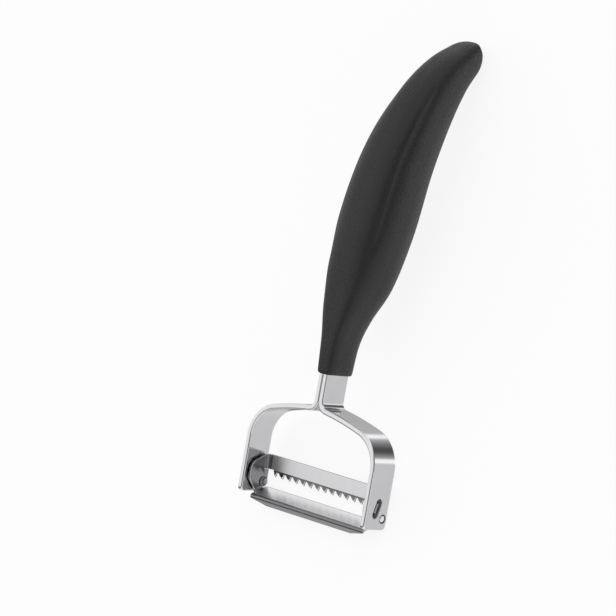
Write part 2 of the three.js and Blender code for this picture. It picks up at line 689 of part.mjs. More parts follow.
// The line on the back of the tool that touches both the head and the handle, found by turning it
// about one contact and then the other
const leanTo = (from, to) => Math.atan2(to.y - from.y, to.z - from.z);
function pick(corners, score) {
  return corners.reduce((best, corner) => (score(corner) > score(best) ? corner : best));
}
let headContact = pick(headCorners, (corner) => corner.y);
let handleContact = pick(handleCorners, (corner) => corner.y);
for (let turn = 0; turn < 4; turn += 1) {
  handleContact = pick(handleCorners, (corner) => leanTo(headContact, corner));
  headContact = pick(headCorners, (corner) => -leanTo(corner, handleContact));
}
const lyingLean = leanTo(headContact, handleContact);

// Lay the tool on its back and centre it on the surface that it rests on
const part = new THREE.Group();
tool.rotation.x = lyingLean - Math.PI / 2;
part.add(tool);
part.updateMatrixWorld(true);
const box = new THREE.Box3().setFromObject(part, true);
const middle = box.getCenter(new THREE.Vector3());
tool.position.set(0, -middle.y, -box.min.z);
part.updateMatrixWorld(true);

export default part;
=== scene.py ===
import json
import math

import bmesh
import bpy
from mathutils import Matrix, Vector


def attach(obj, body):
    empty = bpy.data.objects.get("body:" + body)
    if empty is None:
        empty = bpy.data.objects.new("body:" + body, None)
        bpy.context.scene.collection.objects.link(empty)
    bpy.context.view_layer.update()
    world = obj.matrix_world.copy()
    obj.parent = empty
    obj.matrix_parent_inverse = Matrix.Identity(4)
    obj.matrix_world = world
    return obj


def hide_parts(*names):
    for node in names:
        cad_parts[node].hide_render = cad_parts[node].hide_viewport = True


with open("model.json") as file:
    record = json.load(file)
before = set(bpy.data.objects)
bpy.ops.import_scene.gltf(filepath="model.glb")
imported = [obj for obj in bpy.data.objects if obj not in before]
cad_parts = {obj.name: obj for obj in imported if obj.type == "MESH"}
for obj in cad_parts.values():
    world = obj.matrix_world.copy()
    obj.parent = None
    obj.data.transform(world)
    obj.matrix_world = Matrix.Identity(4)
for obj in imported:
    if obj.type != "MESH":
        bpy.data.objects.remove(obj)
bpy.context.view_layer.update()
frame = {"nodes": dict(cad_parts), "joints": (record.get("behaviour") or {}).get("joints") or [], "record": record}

# Frame strips
# Two mirrored strips of stainless steel, 10.8 by 2 mm, each stamped with a pivot hole and a slot,
# then bent over a former into arm, shoulder, half of the crown and tang; the edges are polished.

# Sizes are in mm and stand for the tool upright on its arms; place lays it down where the CAD has it.
MM = 0.001
PIVOT_IN_TOOL = Vector((0, 3.35, 3.9))
ARM_FACE_IN_TOOL = Vector((31, 0, 15.5))
pivot_in_world = Vector(frame["joints"][0]["pos_m"])
arm_faces = [m for m in frame["record"]["mounts"] if m["name"] == "arm_face_right"]
upright = ARM_FACE_IN_TOOL - PIVOT_IN_TOOL
laid = Vector(arm_faces[0]["pos_m"]) - pivot_in_world
LYING_TURN = math.atan2(laid.z, laid.y) - math.atan2(upright.z, upright.y)
lying = Matrix.Rotation(LYING_TURN, 3, "X")


def place(x, y, z):
    """A point of the upright tool, in mm, at its place in the lying tool, in metres."""
    return pivot_in_world + lying @ (Vector((x, y, z)) - PIVOT_IN_TOOL) * MM


def linear(code):
    """An sRGB hex colour as linear red, green, blue and alpha."""
    shares = [int(code[i:i + 2], 16) / 255 for i in (1, 3, 5)]
    return [s / 12.92 if s <= 0.04045 else ((s + 0.055) / 1.055) ** 2.4 for s in shares] + [1]


def add_node(tree, kind, inputs=None, **settings):
    """Adds a node with its settings; each input is a value or another node's output.

    The inputs of a Mix node go by number, because several of them share a name.
    """
    node = tree.nodes.new(kind)
    for name, value in settings.items():
        setattr(node, name, value)
    for socket, value in (inputs or {}).items():
        if isinstance(value, bpy.types.NodeSocket):
            tree.links.new(value, node.inputs[socket])
        else:
            node.inputs[socket].default_value = value
    return node


def new_material(name):
    """An empty material and its node tree."""
    material = bpy.data.materials.new(name)
    material.use_nodes = True
    material.node_tree.nodes.clear()
    return material, material.node_tree


def add_piece(name, bm, materials):
    """A mesh with outward faces and smooth shading as an object of the scene."""
    bmesh.ops.recalc_face_normals(bm, faces=bm.faces)
    for face in bm.faces:
        face.smooth = True
    mesh = bpy.data.meshes.new(name)
    bm.to_mesh(mesh)
    bm.free()
    for material in materials:
        mesh.materials.append(material)
    piece = bpy.data.objects.new(name, mesh)
    bpy.context.scene.collection.objects.link(piece)
    return piece


def loft(bm, rings, material_of=None):
    """A closed skin through rings of points; material_of gives the material number round a ring."""
    rows = [[bm.verts.new(place(*point)) for point in ring] for ring in rings]
    count = len(rows[0])
    for low, high in zip(rows, rows[1:]):
        for side in range(count):
            following = (side + 1) % count
            face = bm.faces.new((low[side], low[following], high[following], high[side]))
            face.material_index = material_of(side) if material_of else 0
    return bm.faces.new(rows[0]), bm.faces.new(rows[-1])


def keep_result(piece, kind, **settings):
    """Runs a modifier on a piece and keeps the result as its mesh."""
    modifier = piece.modifiers.new(kind.lower(), kind)
    for name, value in settings.items():
        setattr(modifier, name, value)
    graph = bpy.context.evaluated_depsgraph_get()
    piece.data = bpy.data.meshes.new_from_object(piece.evaluated_get(graph))
    piece.modifiers.clear()


def combine(piece, others, operation):
    """Joins other objects to a piece, or cuts them out of it, and takes them off the scene."""
    for other in others:
        keep_result(piece, "BOOLEAN", object=other, operation=operation, solver="EXACT")
        bpy.data.objects.remove(other)
    piece.data.name = piece.name


SHARP_ANGLE = math.radians(35)


def shade_evenly(piece):
    """Marks sharp edges and lets large flat faces rule the shading of the roundings beside them."""
    piece.data.set_sharp_from_angle(angle=SHARP_ANGLE)
    keep_result(piece, "WEIGHTED_NORMAL", keep_sharp=True)
    piece.data.name = piece.name


# Satin stainless steel: belt brushed along the strip, so it mirrors the studio softly,
# with faint streaks that run round every bend; real streaks are about 0.05 mm, drawn here at 0.25 mm.
# Tone clouds about 5.6 mm wide are what handling leaves.
STEEL = "#c6c6c8"
STEEL_PALE = "#cfcfd2"
STREAK_WIDTH = 0.00025
STREAK_LENGTH = 0.030
HANDLING_CLOUD = 0.00556
brushed_strip, tree = new_material("stainless_steel_belt_brushed")
where = add_node(tree, "ShaderNodeTexCoord")
along_strip = add_node(tree, "ShaderNodeMapping", {
    "Vector": where.outputs["Object"],
    "Rotation": (LYING_TURN, 0, 0),
    "Scale": (STREAK_LENGTH, STREAK_WIDTH, STREAK_LENGTH),
}, vector_type="TEXTURE")
streaks = add_node(tree, "ShaderNodeTexNoise", {
    "Vector": along_strip.outputs["Vector"], "Scale": 1.0, "Detail": 4.0, "Roughness": 0.6,
})
clouds = add_node(tree, "ShaderNodeTexNoise", {
    "Vector": where.outputs["Object"], "Scale": 1 / HANDLING_CLOUD, "Detail": 3.0,
})
tone = add_node(tree, "ShaderNodeMix", {
    0: clouds.outputs["Fac"], 6: linear(STEEL), 7: linear(STEEL_PALE),
}, data_type="RGBA")
satin = add_node(tree, "ShaderNodeMapRange", {
    "Value": streaks.outputs["Fac"], "From Min": 0.3, "From Max": 0.7, "To Min": 0.09, "To Max": 0.15,
})
scratch = add_node(tree, "ShaderNodeBump", {
    "Height": streaks.outputs["Fac"], "Strength": 0.12, "Distance": 0.00004,
})
shader = add_node(tree, "ShaderNodeBsdfPrincipled", {
    "Base Color": tone.outputs[2], "Metallic": 1.0, "Roughness": satin.outputs["Result"],
    "Normal": scratch.outputs["Normal"],
})
add_node(tree, "ShaderNodeOutputMaterial", {"Surface": shader.outputs["BSDF"]})

# Polished steel edge: the buffed rim of the strip, sharper than the brushed face and painted brighter than it as a
# painted highlight, with fine marks left by the wheel, which are drawn at 0.4 mm to show.
PAINTED_HIGHLIGHT_STEEL = "#ececee"
WHEEL_MARK = 0.0004
polished_edge_painted_highlight, tree = new_material("stainless_steel_edge_polished_painted_highlight")
where = add_node(tree, "ShaderNodeTexCoord")
marks = add_node(tree, "ShaderNodeTexNoise", {
    "Vector": where.outputs["Object"], "Scale": 1 / WHEEL_MARK, "Detail": 2.0,
})
buffed = add_node(tree, "ShaderNodeMapRange", {
    "Value": marks.outputs["Fac"], "From Min": 0.3, "From Max": 0.7, "To Min": 0.10, "To Max": 0.18,
})
shader = add_node(tree, "ShaderNodeBsdfPrincipled", {
    "Base Color": linear(PAINTED_HIGHLIGHT_STEEL), "Metallic": 1.0, "Roughness": buffed.outputs["Result"],
})
add_node(tree, "ShaderNodeOutputMaterial", {"Surface": shader.outputs["BSDF"]})


def lined_steel(name, greys, lines, roughness):
    """A bare steel whose tone and gloss vary in fine lines, sized in metres across, back and up."""
    material, tree = new_material(name)
    where = add_node(tree, "ShaderNodeTexCoord")
    stretched = add_node(tree, "ShaderNodeMapping", {
        "Vector": where.outputs["Object"], "Scale": lines,
    }, vector_type="TEXTURE")
    noise = add_node(tree, "ShaderNodeTexNoise", {
        "Vector": stretched.outputs["Vector"], "Scale": 1.0, "Detail": 2.0,
    })
    tone = add_node(tree, "ShaderNodeMix", {
        0: noise.outputs["Fac"], 6: linear(greys[0]), 7: linear(greys[1]),
    }, data_type="RGBA")
    dull = add_node(tree, "ShaderNodeMapRange", {
        "Value": noise.outputs["Fac"], "From Min": 0.3, "From Max": 0.7,
        "To Min": roughness[0], "To Max": roughness[1],
    })
    shader = add_node(tree, "ShaderNodeBsdfPrincipled", {
        "Base Color": tone.outputs[2], "Metallic": 1.0, "Roughness": dull.outputs["Result"],
    })
    add_node(tree, "ShaderNodeOutputMaterial", {"Surface": shader.outputs["BSDF"]})
    return material


# Punched steel wall: the torn inside of a punched hole, duller than the face, with tear marks along the punch's
# way;
# real marks are about 0.05 mm, drawn here at 0.2 mm. Its greys are painted light: paler than the face,
# so that the shaded inside of the slot and the hole shows mid grey.
TEAR_MARK = 0.0002
TEAR_LENGTH = 0.0015
punched_wall_painted_light = lined_steel(
    "stainless_steel_wall_punched_painted_light", greys=("#cfcfd1", "#dededf"),
    lines=(TEAR_LENGTH, TEAR_MARK, TEAR_MARK), roughness=(0.56, 0.64))

# Material numbers: broad faces, rounded edges, and the walls of the holes
BRUSHED, EDGE, PUNCHED = 0, 1, 2
strip_steels = [brushed_strip, polished_edge_painted_highlight, punched_wall_painted_light]

STRIP_WIDTH = 10.8
STRIP_THICKNESS = 2.0
ARM_OUTSIDE = 31.0
ARM_LENGTH = 19.7
ARM_CORNER = 1.5
SHOULDER_RADIUS = 13.5
SHOULDER_TURN = math.radians(75)
FORK_RADIUS = 2.2
FORK_TURN = math.radians(83)
HANDLE_START = 47.64
TANG_SHOULDER = 52.64
TANG_TOP = 79.64
TANG_NARROW_WIDTH = 6.4
FRONT_EDGE = 0.6
BACK_EDGE = 0.4
EDGE_STEPS = 5
# The faces between the rounded corners on the inside and the outside, counted round the section
BROAD_FACES = (2 * EDGE_STEPS + 1, 4 * EDGE_STEPS + 3)
ARM_END_STEPS = (0, 0.01, 0.04, 0.09, 0.16, 0.25, 0.36, 0.48, 0.6, 0.8, 1.0, 1.25, 1.5)
ARM_STEPS = (6, 12)
SHOULDER_STEPS = 48
CROWN_STEPS = 24
FORK_STEPS = 32
TANG_STEP = 0.01
PIVOT_HOLE = 3.1
SLOT_WIDTH = 2.6
SLOT_LENGTH = 6.9
SLOT_LEAN = math.radians(13.4)
SLOT_MIDDLE = (-0.1, 7.4)
DEBURR = 0.2
CUT_MARGIN = 0.2
HOLE_STEPS = 24


def round_bend(centre, radius, start, end, steps, facing=1):
    """Stations round a bend: a point on the strip's middle and the way its outer face looks."""
    stations = []
    for step in range(1, steps + 1):
        turn = start + (end - start) * step / steps
        outward = Vector((math.cos(turn), math.sin(turn)))
        stations.append((centre + outward * radius, outward * facing))
    return stations


half_strip = STRIP_THICKNESS / 2
shoulder_centre = Vector((ARM_OUTSIDE - SHOULDER_RADIUS, ARM_LENGTH))
fork_x = STRIP_THICKNESS + FORK_RADIUS
crown_reach = (shoulder_centre.x + SHOULDER_RADIUS * math.cos(SHOULDER_TURN)
               + FORK_RADIUS * math.cos(FORK_TURN) - fork_x)
crown_radius = crown_reach / (math.cos(SHOULDER_TURN) - math.cos(FORK_TURN))
crown_centre = shoulder_centre + (SHOULDER_RADIUS - crown_radius) * Vector(
    (math.cos(SHOULDER_TURN), math.sin(SHOULDER_TURN)))
fork_centre = Vector((fork_x, crown_centre.y + (crown_radius + FORK_RADIUS) * math.sin(FORK_TURN)))
outward = Vector((1, 0))
arm_heights = ARM_END_STEPS + ARM_STEPS + (ARM_LENGTH,)
strip_path = [(Vector((ARM_OUTSIDE - half_strip, height)), outward) for height in arm_heights]
strip_path += round_bend(shoulder_centre, SHOULDER_RADIUS - half_strip, 0, SHOULDER_TURN, SHOULDER_STEPS)
strip_path += round_bend(crown_centre, crown_radius - half_strip, SHOULDER_TURN, FORK_TURN, CROWN_STEPS)
strip_path += round_bend(fork_centre, FORK_RADIUS + half_strip, FORK_TURN + math.pi, math.pi, FORK_STEPS,
                         facing=-1)
tang_heights = (HANDLE_START, TANG_SHOULDER, TANG_SHOULDER + TANG_STEP, TANG_TOP)
strip_path += [(Vector((half_strip, height)), outward) for height in tang_heights]


def strip_section(centre, outward, side):
    """The rounded section of the strip at a station; it draws in at the end of the arm."""
    def drawn_in(radius):
        return radius - math.sqrt(radius ** 2 - max(radius - centre.y, 0) ** 2)
    deep = half_strip - drawn_in(FRONT_EDGE)
    width = TANG_NARROW_WIDTH if centre.y > TANG_SHOULDER else STRIP_WIDTH
    wide = width / 2 - drawn_in(ARM_CORNER)
    ring = []
    for corner, (out_sign, back_sign) in enumerate(((1, 1), (-1, 1), (-1, -1), (1, -1))):
        edge = min(BACK_EDGE if back_sign > 0 else FRONT_EDGE, deep)
        for step in range(EDGE_STEPS + 1):
            turn = math.radians(90) * (corner + step / EDGE_STEPS)
            off = out_sign * (deep - edge) + edge * math.cos(turn)
            back = back_sign * (wide - edge) + edge * math.sin(turn)
            spot = centre + outward * off
            ring.append((side * spot.x, back, spot.y))
    return ring


def strip_finish(point):
    """The strip's two broad faces are brushed, its narrow faces and rounded edges polished and painted brighter, a
    painted highlight.
    """
    return BRUSHED if point in BROAD_FACES else EDGE


def slot_outline(grow):
    """The stop slot in the side view, widened by grow."""
    half = (SLOT_LENGTH - SLOT_WIDTH) / 2
    outline = []
    for step in range(2 * HOLE_STEPS):
        turn = math.pi * step / HOLE_STEPS - SLOT_LEAN
        end = half if step < HOLE_STEPS else -half
        reach = SLOT_WIDTH / 2 + grow
        outline.append((SLOT_MIDDLE[0] + end * math.sin(SLOT_LEAN) + reach * math.cos(turn),
                        SLOT_MIDDLE[1] + end * math.cos(SLOT_LEAN) + reach * math.sin(turn)))
    return outline


def hole_outline(grow):
    """The pivot hole in the side view, widened by grow."""
    reach = PIVOT_HOLE / 2 + grow
    turns = [math.pi * step / HOLE_STEPS for step in range(2 * HOLE_STEPS)]
    return [(PIVOT_IN_TOOL.y + reach * math.cos(t), PIVOT_IN_TOOL.z + reach * math.sin(t)) for t in turns]


for side_name, side in (("right", 1), ("left", -1)):
    bm = bmesh.new()
    loft(bm, [strip_section(centre, outward, side) for centre, outward in strip_path], strip_finish)
    strip = add_piece(f"strip_{side_name}", bm, strip_steels)
    bm = bmesh.new()
    for outline in (slot_outline, hole_outline):
        loft(bm, [[(side * x, y, z) for y, z in outline(grow)] for x, grow in (
            (ARM_OUTSIDE - STRIP_THICKNESS - CUT_MARGIN, DEBURR + CUT_MARGIN),
            (ARM_OUTSIDE - STRIP_THICKNESS + DEBURR, 0),
            (ARM_OUTSIDE - DEBURR, 0),
            (ARM_OUTSIDE + CUT_MARGIN, DEBURR + CUT_MARGIN),
        )], lambda point: PUNCHED)
    combine(strip, [add_piece(f"punch_{side_name}", bm, strip_steels)], "DIFFERENCE")
    shade_evenly(strip)
    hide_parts(f"frame_strip_{side_name}")
    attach(strip, "frame")

# Fork weld
# A short run of weld metal that joins the two strips where they part below the tang;
# it is ground down flush with the strip edges.

# Ground weld: a little greyer and duller than the strip, with a fine uneven grit; real grinding marks
# are about 0.1 mm, drawn here at 0.5 mm.
WELD_STEEL = "#b8b8b8"
GRIT = 0.0005
ground_weld, tree = new_material("stainless_steel_weld_ground")
where = add_node(tree, "ShaderNodeTexCoord")
grit = add_node(tree, "ShaderNodeTexNoise", {
    "Vector": where.outputs["Object"], "Scale": 1 / GRIT, "Detail": 3.0,
})
dull = add_node(tree, "ShaderNodeMapRange", {
    "Value": grit.outputs["Fac"], "From Min": 0.3, "From Max": 0.7, "To Min": 0.25, "To Max": 0.4,
})
uneven = add_node(tree, "ShaderNodeBump", {
    "Height": grit.outputs["Fac"], "Strength": 0.2, "Distance": 0.00006,
})
shader = add_node(tree, "ShaderNodeBsdfPrincipled", {
    "Base Color": linear(WELD_STEEL), "Metallic": 1.0, "Roughness": dull.outputs["Result"],
    "Normal": uneven.outputs["Normal"],
})
add_node(tree, "ShaderNodeOutputMaterial", {"Surface": shader.outputs["BSDF"]})

WELD_EDGE = 0.08
WELD_DEPTH = 3.7
WELD_DISH = 0.4
WELD_TOP = 0.1
WELD_GAP = 0.05
WELD_LENGTH = 10.0
WELD_STEPS = 12
EDGE_SEGMENTS = 3
EDGE_ANGLE = math.radians(40)


def pushed(name, outline, length, origin, side, rise, edge, materials, base=0, finish_of=None):
    """A flat outline pushed along its normal from an origin, with its rim rounded over.

    Its ends have the material number base, and its sides that or what finish_of gives round the outline.
    """
    bm = bmesh.new()
    along = side.cross(rise)
    caps = loft(bm, [[origin + side * u + rise * v + along * depth for u, v in outline]
                     for depth in (0, length)], finish_of or (lambda point: base))
    for cap in caps:
        cap.material_index = base
    piece = add_piece(name, bm, materials)
    keep_result(piece, "BEVEL", width=edge * MM, segments=EDGE_SEGMENTS, limit_method="ANGLE",
                angle_limit=EDGE_ANGLE, material=EDGE)
    return piece


ACROSS, BACK, UP = Vector((1, 0, 0)), Vector((0, 1, 0)), Vector((0, 0, 1))
weld_bend = FORK_RADIUS + STRIP_THICKNESS + WELD_GAP
top_turn = math.acos((fork_x - WELD_TOP) / weld_bend)
bottom_turn = math.asin(WELD_DEPTH / weld_bend)
weld_side = []
for step in range(WELD_STEPS + 1):
    turn = math.pi + top_turn + (bottom_turn - top_turn) * step / WELD_STEPS
    weld_side.append((fork_x + weld_bend * math.cos(turn), fork_centre.y + weld_bend * math.sin(turn)))
weld_foot, weld_low = weld_side[-1]
weld_dish = []
for step in range(1, WELD_STEPS):
    share = step / WELD_STEPS
    weld_dish.append((weld_foot * (1 - 2 * share), weld_low + 4 * WELD_DISH * share * (1 - share)))
weld_outline = weld_side + weld_dish + [(-x, z) for x, z in reversed(weld_side)]
weld = pushed("fork_weld_bead", weld_outline, WELD_LENGTH, BACK * WELD_LENGTH / 2, ACROSS, UP, WELD_EDGE,
              [ground_weld, ground_weld])
shade_evenly(weld)
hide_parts("fork_weld")
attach(weld, "frame")

# Handle core
# The stiff plastic body moulded round the tang, which locks it in the handle. The soft skin covers it,
# so the CAD piece stays as it is and only takes its material.

# Black polypropylene straight from the mould: an even half-gloss with faint flow marks 4 mm wide.
CORE_BLACK = "#1a1a1a"
CORE_BLACK_PALE = "#222222"
FLOW_MARK = 0.004
core_black, tree = new_material("polypropylene_moulded_black")
where = add_node(tree, "ShaderNodeTexCoord")
flow = add_node(tree, "ShaderNodeTexNoise", {
    "Vector": where.outputs["Object"], "Scale": 1 / FLOW_MARK, "Detail": 3.0,
})
tone = add_node(tree, "ShaderNodeMix", {
    0: flow.outputs["Fac"], 6: linear(CORE_BLACK), 7: linear(CORE_BLACK_PALE),
}, data_type="RGBA")
moulded = add_node(tree, "ShaderNodeMapRange", {
    "Value": flow.outputs["Fac"], "To Min": 0.4, "To Max": 0.55,
})
shader = add_node(tree, "ShaderNodeBsdfPrincipled", {
    "Base Color": tone.outputs[2], "Roughness": moulded.outputs["Result"], "IOR": 1.49,
})
add_node(tree, "ShaderNodeOutputMaterial", {"Surface": shader.outputs["BSDF"]})
core = frame["nodes"]["handle_core"]
core.data.materials.clear()
core.data.materials.append(core_black)

# Handle skin
# The soft black grip, moulded over the core in one shot: a long leaf that swells for the palm,
# sweeps back to a rounded tip, and has a crease along each side, behind which the side swells a little.

# Thermoplastic rubber from a spark-eroded mould: a matt black that scatters light evenly,
# with a fine pebbled grain and tone clouds 8 mm wide; the real grain is about 0.1 mm, drawn here at 0.7 mm.
RUBBER = "#202021"
RUBBER_PALE = "#272728"
GRAIN = 0.0007
CLOUD = 0.008
soft_skin, tree = new_material("thermoplastic_rubber_moulded_matt_black")
where = add_node(tree, "ShaderNodeTexCoord")
grain = add_node(tree, "ShaderNodeTexNoise", {
    "Vector": where.outputs["Object"], "Scale": 1 / GRAIN, "Detail": 2.0, "Roughness": 0.55,
})
clouds = add_node(tree, "ShaderNodeTexNoise", {
    "Vector": where.outputs["Object"], "Scale": 1 / CLOUD, "Detail": 2.0,
})
tone = add_node(tree, "ShaderNodeMix", {
    0: clouds.outputs["Fac"], 6: linear(RUBBER), 7: linear(RUBBER_PALE),
}, data_type="RGBA")
matt = add_node(tree, "ShaderNodeMapRange", {
    "Value": grain.outputs["Fac"], "From Min": 0.3, "From Max": 0.7, "To Min": 0.38, "To Max": 0.52,
})
pebbles = add_node(tree, "ShaderNodeBump", {
    "Height": grain.outputs["Fac"], "Strength": 1.0, "Distance": 0.00022,
})
shader = add_node(tree, "ShaderNodeBsdfPrincipled", {
    "Base Color": tone.outputs[2], "Roughness": matt.outputs["Result"], "IOR": 1.48,
    "Normal": pebbles.outputs["Normal"],
})
add_node(tree, "ShaderNodeOutputMaterial", {"Surface": shader.outputs["BSDF"]})

STATIONS = (
    # height, setback, depth, width
    (0, 0.8, 14, 6.8),
    (12, 1.0, 14.8, 9.2),
    (22, 2.3, 17.2, 14.4),
    (34, 5.3, 22.4, 20.4),
    (52, 8.4, 25.4, 23.6),
    (76, 13.6, 24.2, 22.2),
    (95, 21.8, 20.6, 18.8),
    (106, 29.4, 16.8, 15.4),
    (113, 37, 12.8, 12.2),
)
TIP_LENGTH = 7.77
TIP_TAPER = 0.4
FRONT_SQUARENESS = 3
NECK_SQUARENESS = 5
NECK_SHARES = (0.18, 0.48)
BACK_SQUARENESS = 2.4
CREASE_DEPTH = 0.5
SWELL_HEIGHT = 0.75
SWELL_START_SHARES = (0.38, 0.5)
SWELL_END_SHARES = (0.66, 0.84)
CREASE_START_TURN = 26
CREASE_TURN = 46
CREST_TURN = 66
SWELL_END_TURN = 120
SKIN_INSET = 0.08
LIP_RADIUS = 0.7
MOUTH_DEPTH = 3
MOUTH_BREAK = 0.2
MOUTH_SQUARENESS = 8
TANG_ROOM = (11.1, 4.3)
SKIN_RINGS = 150
FIRST_SHARE = 0.014
TIP_RINGS = 24
LIP_RINGS = 5
SKIN_SIDES = 180
SKIN_SHARP_ANGLE = math.radians(40)


def smooth_through(points, share):
    """A point of the centripetal curve through points, at a share from 0 to 1, and its direction there."""
    spans = len(points) - 1
    span = min(int(share * spans), spans - 1)
    t = share * spans - span
    p1, p2 = points[span], points[span + 1]
    p0 = points[span - 1] if span > 0 else 2 * p1 - p2
    p3 = points[span + 2] if span + 2 <= spans else 2 * p2 - p1
    d0, d1, d2 = (math.sqrt((b - a).length) for a, b in ((p0, p1), (p1, p2), (p2, p3)))
    leave = ((p1 - p0) / d0 - (p2 - p0) / (d0 + d1) + (p2 - p1) / d1) * d1
    reach = ((p2 - p1) / d1 - (p3 - p1) / (d1 + d2) + (p3 - p2) / d2) * d1
    c2 = 3 * (p2 - p1) - 2 * leave - reach
    c3 = 2 * (p1 - p2) + leave + reach
    return p1 + leave * t + c2 * t ** 2 + c3 * t ** 3, (leave + 2 * c2 * t + 3 * c3 * t ** 2).normalized()


def eased(value, low, high):
    """A smooth step from 0 to 1 between two values."""
    step = min(max((value - low) / (high - low), 0), 1)
    return step * step * (3 - 2 * step)


def squared(half_width, half_depth, front_power, back_power):
    """Points round a squared oval, each with its turn in degrees from the middle of the front."""
    points = []
    for side in range(SKIN_SIDES):
        angle = (side + 0.5) * 2 * math.pi / SKIN_SIDES
        across, behind = math.cos(angle), math.sin(angle)
        power = 2 / (front_power if behind < 0 else back_power)
        turn = math.degrees(math.atan2(abs(across), -behind))
        points.append((math.copysign(abs(across) ** power, across) * half_width,
                       math.copysign(abs(behind) ** power, behind) * half_depth, turn))
    return points


spine = [Vector((0, setback, HANDLE_START + height)) for height, setback, depth, width in STATIONS]
girths = [Vector((depth, width, height)) for height, setback, depth, width in STATIONS]


def grip_ring(share, inset=0.0, lift=0.0):
    """The ring of points round the handle at a share of its spine, 1 to 2 being the rounded tip."""
    centre, onward = smooth_through(spine, min(share, 1))
    depth, width = smooth_through(girths, min(share, 1))[0].xy
    if share > 1:
        round_share = TIP_TAPER + (1 - TIP_TAPER) * (share - 1)
        shrink = math.sqrt(max(0, 1 - round_share ** 2) / (1 - TIP_TAPER ** 2))
        centre = centre + onward * TIP_LENGTH * (share - 1)
        depth, width = depth * shrink, width * shrink
    backward = onward.cross(ACROSS)
    squareness = NECK_SQUARENESS + (FRONT_SQUARENESS - NECK_SQUARENESS) * eased(share, *NECK_SHARES)
    creased = eased(share, *SWELL_START_SHARES) * (1 - eased(share, *SWELL_END_SHARES))
    half_width, half_depth = (max(size / 2 - SKIN_INSET - inset, 0) for size in (width, depth))
    ring = []
    for x, y, turn in squared(half_width, half_depth, squareness, BACK_SQUARENESS):
        sink = min(max((turn - CREASE_START_TURN) / (CREASE_TURN - CREASE_START_TURN), 0), 1)
        climb = min(max((turn - CREASE_TURN) / (CREST_TURN - CREASE_TURN), 0), 1)
        swell = (CREASE_DEPTH + SWELL_HEIGHT) * math.sin(math.radians(90) * climb)
        swell -= CREASE_DEPTH * sink ** 2
        swell *= creased * (1 - eased(turn, CREST_TURN, SWELL_END_TURN))
        spot = ACROSS * x + backward * y
        ring.append(centre + onward * lift + spot + spot.normalized() * swell)
    return ring


def tang_ring(lift):
    """The ring of points round the slot that the tang comes out of."""
    centre, onward = smooth_through(spine, 0)
    mouth = squared(TANG_ROOM[1] / 2, TANG_ROOM[0] / 2, MOUTH_SQUARENESS, MOUTH_SQUARENESS)
    return [Vector((x, y, centre.z)) + onward * lift for x, y, turn in mouth]


rings = [tang_ring(MOUTH_DEPTH), tang_ring(MOUTH_BREAK), tang_ring(0)]
for step in range(LIP_RINGS, 0, -1):
    turn = math.radians(90) * step / LIP_RINGS
    rings.append(grip_ring(0, LIP_RADIUS * (1 - math.cos(turn)), LIP_RADIUS * (1 - math.sin(turn))))
for step in range(SKIN_RINGS):
    rings.append(grip_ring(FIRST_SHARE + (1 - FIRST_SHARE) * step / (SKIN_RINGS - 1)))
for step in range(1, TIP_RINGS):
    rings.append(grip_ring(1 + math.sin(math.radians(90) * step / TIP_RINGS)))
bm = bmesh.new()
loft(bm, rings)
skin = add_piece("grip_skin", bm, [soft_skin])
skin.data.set_sharp_from_angle(angle=SKIN_SHARP_ANGLE)
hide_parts("handle_skin")
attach(skin, "frame")

# Julienne blade
# One stamped stainless sheet bent to a trough: a toothed bar that scores the strips, a ground
# cutting bar whose lip is bent down and back, and two ears that carry the pivots and the stop tabs.

# Real roll and grinding lines are 0.03 to 0.05 mm; they are drawn at 0.2 mm to show.
STREAK_GAP = 0.0002
ALONG_BLADE = (STREAK_LENGTH, STREAK_GAP, STREAK_GAP)
ACROSS_BLADE = (STREAK_GAP, STREAK_LENGTH, STREAK_LENGTH)
# Lip and underside sheet: painted a darker mid grey than the bar fronts, as painted shade.
lip_sheet_painted_shade = lined_steel(
    "stainless_steel_sheet_lip_painted_shade", greys=("#a9a9ab", "#b2b2b4"),
    lines=ALONG_BLADE, roughness=(0.2, 0.3))
# Painted shade sheet: comb, bends, ears, tabs and lip bend are painted a darker grey than the bars, as painted
# shade and painted reflection:
# they stand for the shade between the ears and the arms and for the dark that the comb and the bends mirror.
painted_shade_sheet = lined_steel(
    "stainless_steel_sheet_painted_shade", greys=("#828285", "#949497"),
    lines=ALONG_BLADE, roughness=(0.16, 0.24))
# Satin ground bar: cross lines on the fronts of both bars blur what they mirror to an even tone; their near-white
# greys are painted light, brighter than the rest of the sheet and the strips.
satin_bar_painted_light = lined_steel(
    "stainless_steel_bar_satin_painted_light", greys=("#f4f4f6", "#fafafc"),
    lines=ACROSS_BLADE, roughness=(0.3, 0.38))
# Material numbers: the polished edges have the same number as on the strips
LIP_SHADE, PAINTED_SHADE, SATIN = 0, 2, 3
blade_steels = [lip_sheet_painted_shade, polished_edge_painted_highlight, painted_shade_sheet, satin_bar_painted_light]

SHEET = 0.9
EAR_OUTSIDE = 28.4
EAR_INSIDE = EAR_OUTSIDE - SHEET
UPPER_BEND = 2.4
LOWER_BEND = 1.5
BEND_LEG = 0.4
BEND_STEPS = 12
# The face between the two inner bends, counted round the section
WEB_FRONT = 3 * BEND_STEPS + 5
